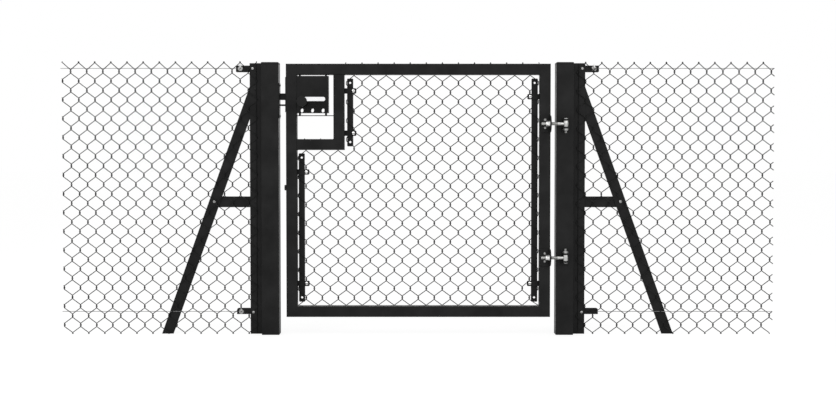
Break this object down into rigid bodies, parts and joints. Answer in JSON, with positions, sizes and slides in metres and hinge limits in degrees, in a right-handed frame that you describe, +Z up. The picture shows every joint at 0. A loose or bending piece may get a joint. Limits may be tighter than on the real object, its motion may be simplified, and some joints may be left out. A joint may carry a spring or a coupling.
{
  "type": "chain link gate",
  "caption": "Black single-leaf chain link garden gate between square posts, with an eye-bolt hinged frame, a lever lock in a corner box and a braced fence stub on each side.",
  "frame": {"origin": "centre of the hinge post's foot, at ground level", "axes": "+Z up, +X along the gateway from the lock post to the hinge post, -Y towards the side that the leaf opens to"},
  "size_m": [2.63, 0.137, 1.0078],
  "materials": {
    "black_coated_steel": "fine-textured powder coat, satin",
    "black_plastic": "moulded, matte",
    "black_rubber": "matte rubber",
    "coated_wire": "plastic-coated wire, semi-gloss",
    "galvanised_wire": "galvanised",
    "zinc_plated_steel": "bright zinc plating",
    "dark_steel": "blackened steel",
    "satin_aluminium": "satin anodised"
  },
  "bodies": {
    "root": {"lock_post": "black_coated_steel", "hinge_post": "black_coated_steel", "lock_post_cap": "black_plastic", "hinge_post_cap": "black_plastic", "fence_post_left": "black_coated_steel", "fence_post_right": "black_coated_steel", "strut_left": "black_coated_steel", "strut_right": "black_coated_steel", "tie_left": "black_coated_steel", "tie_right": "black_coated_steel", "fence_mesh_left": "coated_wire", "fence_mesh_right": "coated_wire", "tension_rod_left": "black_coated_steel", "tension_rod_right": "black_coated_steel", "tensioner_brackets_left": "black_coated_steel", "tensioner_brackets_right": "black_coated_steel", "tensioner_spools_left": "zinc_plated_steel", "tensioner_spools_right": "zinc_plated_steel", "tension_wires_left": "galvanised_wire", "tension_wires_right": "galvanised_wire", "strike_plate": "black_coated_steel", "strike_stop": "black_coated_steel", "upper_hinge_clevis": "black_coated_steel", "lower_hinge_clevis": "black_coated_steel", "upper_hinge_pin": "zinc_plated_steel", "lower_hinge_pin": "zinc_plated_steel"},
    "leaf": {"lock_stile": "black_coated_steel", "hinge_stile": "black_coated_steel", "top_rail": "black_coated_steel", "bottom_rail": "black_coated_steel", "lock_box_upright": "black_coated_steel", "lock_box_rail": "black_coated_steel", "lock_box_shelf": "black_coated_steel", "lock_case": "black_coated_steel", "lock_forend": "black_coated_steel", "leaf_mesh_upper": "coated_wire", "leaf_mesh_lower": "coated_wire", "lock_side_tension_bar": "black_coated_steel", "hinge_side_tension_bar": "black_coated_steel", "lock_box_tension_bar": "black_coated_steel", "bar_clamps": "black_coated_steel", "upper_hinge_bracket": "black_coated_steel", "lower_hinge_bracket": "black_coated_steel", "upper_eye_bolt": "zinc_plated_steel", "lower_eye_bolt": "zinc_plated_steel", "stop_buffer": "black_rubber"},
    "latch": {"latch_bolt": "dark_steel"},
    "handle": {"lever_hub": "black_coated_steel", "front_lever_grip": "satin_aluminium", "rear_lever_grip": "satin_aluminium"}
  },
  "joints": [
    {"name": "leaf_swing", "type": "hinge", "parent": "root", "child": "leaf", "pos_m": [0, -0.054, 0.531], "axis": [0, 0, 1], "range_deg": [0, 180]},
    {"name": "handle_turn", "type": "hinge", "parent": "leaf", "child": "handle", "pos_m": [-0.961, -0.012, 0.857], "axis": [0, 1, 0], "range_deg": [0, 35], "stiffness_Nm_per_rad": 1.2, "springref_deg": -17.19},
    {"name": "latch_slide", "type": "slide", "parent": "leaf", "child": "latch", "axis": [1, 0, 0], "range_m": [0, 0.018]}
  ],
  "couplings": [
    {"joint": "latch_slide", "follows": "handle_turn", "m_per_rad": 0.0294}
  ]
}
